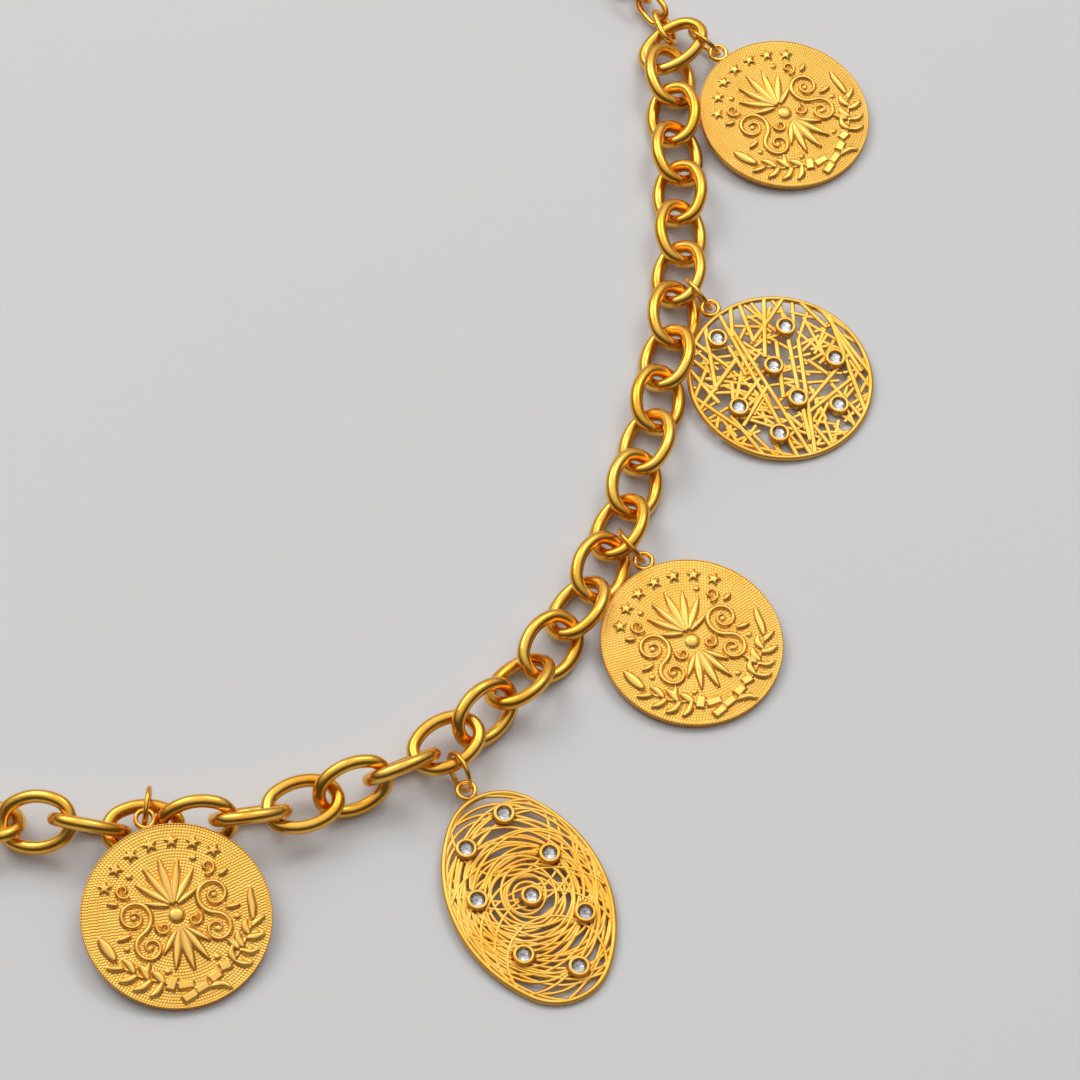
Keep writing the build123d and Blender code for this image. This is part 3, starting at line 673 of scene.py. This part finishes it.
# shorter, thinner ones that cross beneath them
lowBars = [
    (-4.3, 7.6, -5.5, 4.2), (-5.9, 10.6, 0.1, 5.9), (-2.2, 11.8, 1.0, 7.9), (0.9, 12.0, 1.4, 7.8),
    (-1.0, 12.0, 0.3, 7.8), (3.2, 10.7, 1.9, 5.2), (2.5, 9.1, 5.4, 3.9), (5.5, 8.6, 4.5, 4.9),
    (1.8, 6.9, 5.7, 3.8), (-7.2, -6.0, -7.5, -8.9), (-5.4, -6.2, -6.0, -9.2), (-6.2, -7.9, -4.4, -10.3),
    (5.8, -5.2, 7.1, -8.7), (7.6, -5.1, 7.1, -8.9), (2.5, -4.6, 5.0, -7.4), (0.2, -9.4, 0.2, -12.0),
    (-0.2, -9.7, 1.8, -11.7), (8.2, -2.8, 10.0, -6.5), (8.7, 1.3, 8.0, -2.4), (-7.0, -2.0, -1.4, -4.2),
    (-11.4, -1.3, -2.4, -1.5), (-4.9, 4.5, -1.4, 2.5), (-3.9, 4.4, 0.3, 6.5), (-2.2, -1.4, -0.6, -4.6),
    (2.9, -0.4, 7.4, 0.5), (2.6, 3.1, 6.2, 1.0), (3.0, 2.3, 5.2, 4.2), (-0.2, -0.1, 3.9, -0.3),
    (-4.1, -6.3, 1.2, -7.5), (0.4, -6.5, 3.0, -4.8), (7.8, 1.7, 11.4, 3.1), (11.1, 1.6, 9.8, -1.6),
    (8.9, -2.8, 11.7, -0.4), (6.8, 7.6, 10.2, 5.8), (4.6, 6.0, 9.0, 4.5), (-9.7, 1.3, -7.9, -1.9),
    (-4.6, 2.0, -5.2, -3.6), (-5.9, -1.4, -5.5, -4.7), (-2.6, 3.3, -4.4, 0.5), (0.9, -4.8, 3.7, -7.0),
    (7.5, 5.3, 5.6, 2.6), (4.6, 6.7, 2.4, 3.9), (3.0, 1.2, 7.7, 1.6), (-11.1, 1.6, -7.7, 4.6),
    (-8.9, -7.4, -6.2, -5.1), (-4.5, 8.4, -1.4, 6.4), (6.8, -0.5, 9.4, -3.5), (-4.1, 10.2, -1.5, 7.0),
    (-4.7, 8.0, -0.0, 9.7), (-6.6, 6.6, -2.4, 7.0), (-6.0, 2.8, -2.4, 3.7), (-8.2, 1.8, -3.7, 3.0),
    (-11.4, 0.5, -6.1, 1.3), (-10.2, -1.6, -5.8, -0.5), (-8.0, -1.3, -3.1, 0.3),
    (-10.9, -2.9, -6.1, -1.9), (-9.0, -3.4, -5.3, -2.8), (-6.1, -5.3, -1.3, -4.9),
    (-4.6, -6.3, -1.3, -5.9), (-2.2, -5.7, 1.7, -6.1), (-3.0, -2.4, -1.3, -6.7), (0.9, 4.0, 3.8, 6.1),
    (-0.5, 2.0, 3.7, 0.8), (0.5, -0.7, 3.9, -1.8), (3.8, -0.8, 6.1, -5.3), (3.9, -5.6, 7.7, -5.8),
    (4.1, -7.3, 8.7, -6.7), (6.8, -7.5, 10.0, -6.1), (6.2, -2.8, 4.0, -8.7), (1.2, -7.0, 5.4, -7.9),
    (0.2, -8.7, 4.4, -9.4), (2.2, -9.8, 5.8, -8.7), (-2.6, -7.2, -4.4, -10.4), (-3.5, -8.0, -0.1, -11.0),
    (2.9, 8.4, 7.6, 5.9), (3.6, 4.5, 6.1, 5.5), (4.8, 2.6, 6.6, 5.3), (8.5, 3.6, 11.4, -0.1),
    (10.1, 3.3, 8.8, -0.2), (9.3, -0.3, 7.3, -3.6), (9.5, -1.2, 11.6, -3.5), (8.6, -4.5, 11.2, -2.6),
    (-2.2, 5.9, 1.2, 4.1), (-1.7, 10.0, -2.9, 5.2), (0.8, 9.6, 4.8, 9.0), (4.0, 7.1, 6.7, 8.9),
    (-4.5, -1.1, -1.4, 1.1), (-3.2, 1.3, -5.1, -1.5), (-5.9, 0.2, -2.5, -2.8), (-5.3, -2.4, -1.4, -3.3),
    (-4.5, -3.0, -0.7, -5.3), (-3.2, -3.8, -5.1, -6.6), (-1.6, -2.8, -3.0, -5.8),
    (-3.2, -5.0, -0.4, -6.8), (-1.9, -4.6, 1.4, -4.2), (-2.2, 3.1, 1.3, 1.4), (-1.6, -0.0, 1.6, 2.1),
    (-1.2, -1.3, 2.0, -0.4), (-0.2, 0.7, 3.0, 2.1), (-3.4, 4.0, -1.5, 6.1), (-4.6, 5.8, -1.4, 4.8),
    (-5.9, 4.5, -3.1, 2.7), (-5.6, 3.2, -2.8, 1.3), (-7.5, 1.2, -5.4, -1.1), (-9.0, 2.8, -6.1, 3.7),
    (-10.3, 2.2, -7.7, 0.1), (-10.8, -1.3, -8.2, -2.7), (1.9, -1.2, -0.0, -3.5), (4.2, -1.1, 5.1, -4.6),
    (4.3, -2.7, 7.6, -1.3), (5.2, -3.8, 3.8, -7.0), (3.0, -5.5, 5.7, -7.5), (1.3, -8.5, 3.6, -5.9),
    (0.6, -7.0, 2.9, -9.3), (5.7, 7.1, 4.1, 3.9), (6.5, 6.2, 5.2, 2.9), (0.9, 2.8, 3.7, 3.9),
    (-9.8, -6.4, -7.6, -4.4), (-8.5, -7.4, -5.6, -6.7), (-6.9, -9.0, -4.3, -7.6),
    (-7.2, -6.4, -4.9, -9.1), (-4.5, -9.4, -2.1, -7.9), (-2.2, -10.3, 0.7, -10.7),
    (5.6, -7.9, 4.1, -10.4), (7.0, -6.0, 9.4, -7.9), (7.9, -4.3, 10.5, -6.0), (10.2, -2.5, 8.3, -5.3),
]


# a bar that ends near the rim runs into it
def toRim(start, end, radius):
    out = []
    for here, there in ((start, end), (end, start)):
        if np.linalg.norm(here) < radius - 1.0:
            out.append(here)
            continue
        run = (here - there) / np.linalg.norm(here - there)
        b = float(there @ run)
        out.append(there + run * (math.sqrt(b * b - float(there @ there) + radius * radius) - b))
    return out


# pieces of a straight run that stay outside every collar
def cutByCollars(start, end, spots, reach):
    pieces = [(0.0, 1.0)]
    run = end - start
    length = np.linalg.norm(run)
    for x, y in spots:
        to = np.array([x, y, 0.0]) - start
        along = float(to @ run) / length ** 2
        off = np.linalg.norm(to[:2] - run[:2] * along)
        if off >= reach:
            continue
        half = math.sqrt(reach ** 2 - off ** 2) / length
        cut = []
        for a, b in pieces:
            if along + half <= a or along - half >= b:
                cut.append((a, b))
                continue
            if along - half > a:
                cut.append((a, along - half))
            if along + half < b:
                cut.append((along + half, b))
        pieces = cut
    return [(start + run * a, start + run * b) for a, b in pieces if (b - a) * length > 0.15]


def buildRoundOne():
    shape = Shape()
    radius = roundOne["radius"] - rimWire / 2
    spots = [(x * roundOne["radius"], y * roundOne["radius"]) for x, y in roundStones]
    shape.add(*sweepTube(ringPath(0, 0, rimWire / 2, radius, 200), rimWire / 2, rimWire / 2, True, 16))
    spin = np.array(Matrix.Rotation(math.radians(-charmPlaces["medallion_round"][1]), 3, "Z"))
    rows = [(bar, roundOne["barWidth"], roundOne["level"]) for bar in bars]
    rows += [(bar, roundOne["lowWidth"], roundOne["lowLevel"]) for bar in lowBars]
    for index, ((x0, y0, x1, y1), wide, level) in enumerate(rows):
        a, b = toRim(spin @ (x0, y0, 0), spin @ (x1, y1, 0), radius)
        lift = np.array([0, 0, level + roundOne["waver"] * ((index * 7) % 5 - 2) / 2])
        for start, stop in cutByCollars(a, b, spots, collar["radius"] - roundOne["sink"]):
            # points close to the ends keep the shading of the bar even
            nib = (stop - start) / np.linalg.norm(stop - start) * roundOne["nib"]
            path = lift + (start, start + nib, stop - nib, stop)
            shape.add(*sweepTube(path, wide, roundOne["barHeight"], False, 14))
    for x, y in spots:
        addCollar(shape, x, y)
    addLoop(shape, roundOne["radius"], rimWire / 2, 1)
    return shape, spots


def addMedallion(name, shape, spots, turn):
    spin = np.array(Matrix.Rotation(math.radians(turn), 3, "Z"))
    work = makePiece("dressed_" + name, placed(name, np.array(shape.verts)), shape.faces,
                     [satinGold, polishedGold], shape.kinds)
    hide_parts(name)
    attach(work, "root")
    gems = Shape()
    for x, y in spots:
        addStone(gems, x, y, collar["height"] - stone["sink"])
    verts = np.array(gems.verts) @ spin.T
    stones = makePiece(name + "_stones", placed(name, verts), gems.faces, stoneMaterials, gems.kinds)
    stones.data.polygons.foreach_set("use_smooth", [False] * len(stones.data.polygons))
    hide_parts(*[f"{name}_stone_{k}" for k in range(1, 9)])
    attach(stones, "root")


roundShape, roundSpots = buildRoundOne()
addMedallion("medallion_round", roundShape, roundSpots, 0)
print("round medallion made:", len(roundShape.faces), "faces")


ovalOne = {
    "long": 14.1, "short": 9.5, "roundness": 0.70, "turn": -5.0,
    "bandWidth": 0.225, "bandHeight": 0.16, "level": 0.46, "waver": 0.04, "sink": 0.15,
}
ovalStones = [(0.747, -0.153), (0.571, 0.465), (0.276, -0.457), (0.113, 0.609),
              (-0.016, -0.024), (-0.320, -0.541), (-0.475, 0.379), (-0.738, -0.180)]
# turned ellipses of the swirl: middle, long half axis and its ratio to the short one, and turn
# from the oval's own length; places and half axes are shares of the short half axis
swirl = [
    (0.00, 0.00, 0.20, 1.1, 20), (0.03, 0.02, 0.27, 1.15, -40), (-0.02, -0.02, 0.33, 1.2, 60),
    (0.02, -0.01, 0.40, 1.2, -10), (-0.02, 0.02, 0.46, 1.25, 50), (0.02, 0.02, 0.52, 1.2, -60),
    (-0.02, -0.03, 0.58, 1.25, 15), (0.03, 0.02, 0.65, 1.2, 75), (-0.03, 0.02, 0.70, 1.25, -30),
    (0.02, -0.04, 0.78, 1.25, 35), (0.00, 0.04, 0.84, 1.3, -8), (-0.05, -0.02, 0.92, 1.3, 22),
    (0.06, 0.03, 0.98, 1.35, -20), (-0.04, 0.04, 1.04, 1.35, 10), (0.04, -0.05, 1.10, 1.35, -32),
    (-0.03, -0.04, 1.14, 1.40, 32), (0.06, 0.00, 1.20, 1.45, -14), (-0.06, 0.02, 1.24, 1.45, 16),
    (0.02, 0.06, 1.30, 1.45, -26), (-0.02, -0.06, 1.32, 1.5, 26), (0.08, 0.02, 1.38, 1.5, -6),
    (-0.08, -0.02, 1.40, 1.5, 8), (0.20, 0.02, 1.36, 1.45, 12), (-0.20, -0.02, 1.36, 1.45, -12),
    (0.14, -0.08, 1.42, 1.4, 30), (-0.14, 0.08, 1.42, 1.4, -30), (0.42, 0.10, 1.10, 1.1, 40),
    (0.46, -0.08, 1.08, 1.1, -40), (-0.44, 0.06, 1.10, 1.1, 50), (-0.48, -0.08, 1.08, 1.1, -50),
    (0.34, 0.00, 1.22, 1.25, 20), (-0.34, 0.02, 1.22, 1.25, -20), (0.60, 0.12, 0.92, 1.0, 0),
    (-0.62, -0.10, 0.92, 1.0, 0), (0.56, -0.14, 1.00, 1.0, 0), (-0.56, 0.14, 1.00, 1.0, 0),
    (0.00, 0.00, 0.61, 1.15, -45), (-0.01, 0.02, 0.73, 1.2, 10), (0.02, 0.00, 0.87, 1.3, -38),
    (-0.04, 0.00, 0.95, 1.35, 42), (0.76, 0.05, 0.76, 1.0, 0), (-0.76, -0.05, 0.76, 1.0, 0),
    (0.92, -0.03, 0.60, 1.0, 0), (-0.92, 0.03, 0.60, 1.0, 0), (0.68, 0.00, 0.88, 1.1, 90),
    (-0.68, 0.02, 0.88, 1.1, 90),
]


# radius of the end arcs and how far out they sit, radius of the side arcs and how far past the
# middle they are centred, and the angle at which they meet
def ovalArcs(halfLength, halfWidth):
    end = ovalOne["roundness"] * halfWidth
    reach = halfLength - end
    side = (reach ** 2 + halfWidth ** 2 - end ** 2) / (2 * (halfWidth - end))
    drop = side - halfWidth
    return end, reach, side, drop, math.atan2(drop, reach)


# oval of two end arcs and two side arcs
def ovalPath(halfLength, halfWidth, z, count):
    end, reach, side, drop, split = ovalArcs(halfLength, halfWidth)
    arcs = [(reach, 0, end, -split, split), (0, -drop, side, split, math.pi - split),
            (-reach, 0, end, math.pi - split, math.pi + split), (0, drop, side, math.pi + split, 2 * math.pi - split)]
    points = []
    for cx, cy, r, start, stop in arcs:
        steps = max(6, int(count * r * (stop - start) / (2 * math.pi * halfLength)))
        for a in np.linspace(start, stop, steps, endpoint=False):
            points.append((cx + r * math.cos(a), cy + r * math.sin(a), z))
    return np.array(points)


def insideOval(points, halfLength, halfWidth):
    end, reach, side, drop, split = ovalArcs(halfLength, halfWidth)
    x, y = np.abs(points[:, 0]), np.abs(points[:, 1])
    atEnd = (x > reach) & (np.arctan2(y, np.maximum(x - reach, 1e-6)) < split)
    return np.where(atEnd, np.hypot(x - reach, y) < end, np.hypot(x, y + drop) < side)


# index runs of a closed path where keep is true
def keptRuns(keep):
    count = len(keep)
    if keep.all():
        return [None]
    start = int(np.argmin(keep))
    runs, current = [], []
    for k in range(1, count + 1):
        i = (start + k) % count
        if keep[i]:
            current.append(i)
        elif current:
            runs.append(current)
            current = []
    return [run for run in runs if len(run) > 3]


def buildOvalOne():
    spin = np.array(Matrix.Rotation(math.radians(ovalOne["turn"]), 3, "Z"))
    inset = rimWire / 2
    halfLength, halfWidth = ovalOne["long"] - inset, ovalOne["short"] - inset
    spots = [(x * ovalOne["long"], y * ovalOne["short"]) for x, y in ovalStones]
    work = Shape()
    work.add(*sweepTube(ovalPath(halfLength, halfWidth, inset, 220), inset, inset, True, 16))
    for index, (x, y, radius, ratio, turn) in enumerate(swirl):
        level = ovalOne["level"] + ovalOne["waver"] * ((index * 3) % 5 - 2) / 2
        r = radius * ovalOne["short"]
        path = ringPath(x * ovalOne["short"], y * ovalOne["short"], level, r, max(36, int(r * 16)), ratio, turn)
        keep = insideOval(path, halfLength, halfWidth)
        for sx, sy in spots:
            keep &= np.hypot(path[:, 0] - sx, path[:, 1] - sy) > collar["radius"] - ovalOne["sink"]
        for run in keptRuns(keep):
            part = path if run is None else path[run]
            work.add(*sweepTube(part, ovalOne["bandWidth"], ovalOne["bandHeight"], run is None))
    for x, y in spots:
        addCollar(work, x, y)
    work.verts = [tuple(v) for v in np.array(work.verts) @ spin.T]
    addLoop(work, ovalOne["long"], rimWire / 2, 1)
    return work, spots


ovalShape, ovalSpots = buildOvalOne()
addMedallion("medallion_oval", ovalShape, ovalSpots, ovalOne["turn"])
print("oval medallion made:", len(ovalShape.faces), "faces")


stage = {"size": 3.0, "drop": 0.02 * mm, "colour": (0.69, 0.69, 0.692), "roughness": 0.6}


def makeFloor():
    mat, tree, shader = newMaterial("paleFloor")
    place = addNode(tree, "ShaderNodeTexCoord").outputs["Object"]
    tone = noiseNode(tree, place, 6.0, 2.0)
    low = tuple(0.985 * v for v in stage["colour"])
    tree.links.new(rampNode(tree, tone, [(0.3, low), (0.7, stage["colour"])]), shader.inputs["Base Color"])
    shader.inputs["Roughness"].default_value = stage["roughness"]
    shader.inputs["Specular IOR Level"].default_value = 0.3
    half = stage["size"] / 2
    verts = [(x * half, y * half, -stage["drop"]) for x, y in ((-1, -1), (1, -1), (1, 1), (-1, 1))]
    floor = makePiece("floor", verts, [(0, 1, 2, 3)], [mat])


# where each light box stands and where it points, in metres, its size and its power
lights = {
    "keyBox": ((-0.50, 0.45, 0.75), (0.05, -0.01, 0.0), (0.55, 0.55), 2.8),
    "topBox": ((0.30, 0.60, 0.90), (0.05, 0.0, 0.0), (0.45, 0.30), 1.8),
}
sky = {"low": (0.085, 0.078, 0.072), "high": (1.06, 1.06, 1.06), "toward": (-0.10, 0.42, 0.90)}


def addLight(name, spot, target, size, power):
    data = bpy.data.lights.new(name, "AREA")
    data.shape = "RECTANGLE"
    data.size, data.size_y = size
    data.energy = power
    light = bpy.data.objects.new(name, data)
    light.location = spot
    light.rotation_euler = (Vector(target) - Vector(spot)).to_track_quat("-Z", "Y").to_euler()
    bpy.context.scene.collection.objects.link(light)


# bright overhead and behind, dark where the photographer stands
def makeWorld():
    world = bpy.data.worlds.new("studio")
    bpy.context.scene.world = world
    world.use_nodes = True
    tree = world.node_tree
    tree.nodes.clear()
    place = tree.nodes.new("ShaderNodeTexCoord").outputs["Generated"]
    above = addNode(tree, "ShaderNodeVectorMath", {0: place, 1: sky["toward"]}, operation="DOT_PRODUCT")
    colour = rampNode(tree, above.outputs["Value"], [(0.35, sky["low"]), (0.90, sky["high"])])
    back = addNode(tree, "ShaderNodeBackground", {"Color": colour, "Strength": 1.0})
    out = tree.nodes.new("ShaderNodeOutputWorld")
    tree.links.new(back.outputs[0], out.inputs["Surface"])


makeFloor()
makeWorld()
for name, (spot, target, size, power) in lights.items():
    addLight(name, spot, target, size, power)

# spot in mm, angles in degrees, lens in mm on a 36 mm sensor
cameraView = {"spot": (58.41, -302.9, 474.8), "pitch": 58.77, "roll": -4.72, "lens": 152.63}


def makeCamera():
    e, r = math.radians(cameraView["pitch"]), math.radians(cameraView["roll"])
    ahead = Vector((0, math.cos(e), -math.sin(e)))
    right, down = Vector((1, 0, 0)), Vector((0, -math.sin(e), -math.cos(e)))
    across = right * math.cos(r) + down * math.sin(r)
    below = down * math.cos(r) - right * math.sin(r)
    turn = Matrix((across, -below, -ahead)).transposed().to_4x4()
    data = bpy.data.cameras.new("camera")
    data.lens, data.sensor_width = cameraView["lens"], 36.0
    data.clip_start, data.clip_end = 0.01, 20.0
    camera = bpy.data.objects.new("camera", data)
    camera.matrix_world = Matrix.Translation(Vector(cameraView["spot"]) * mm) @ turn
    bpy.context.scene.collection.objects.link(camera)
    bpy.context.scene.camera = camera


makeCamera()
bpy.context.scene.view_settings.view_transform = "Standard"
print("floor, lights and camera set")
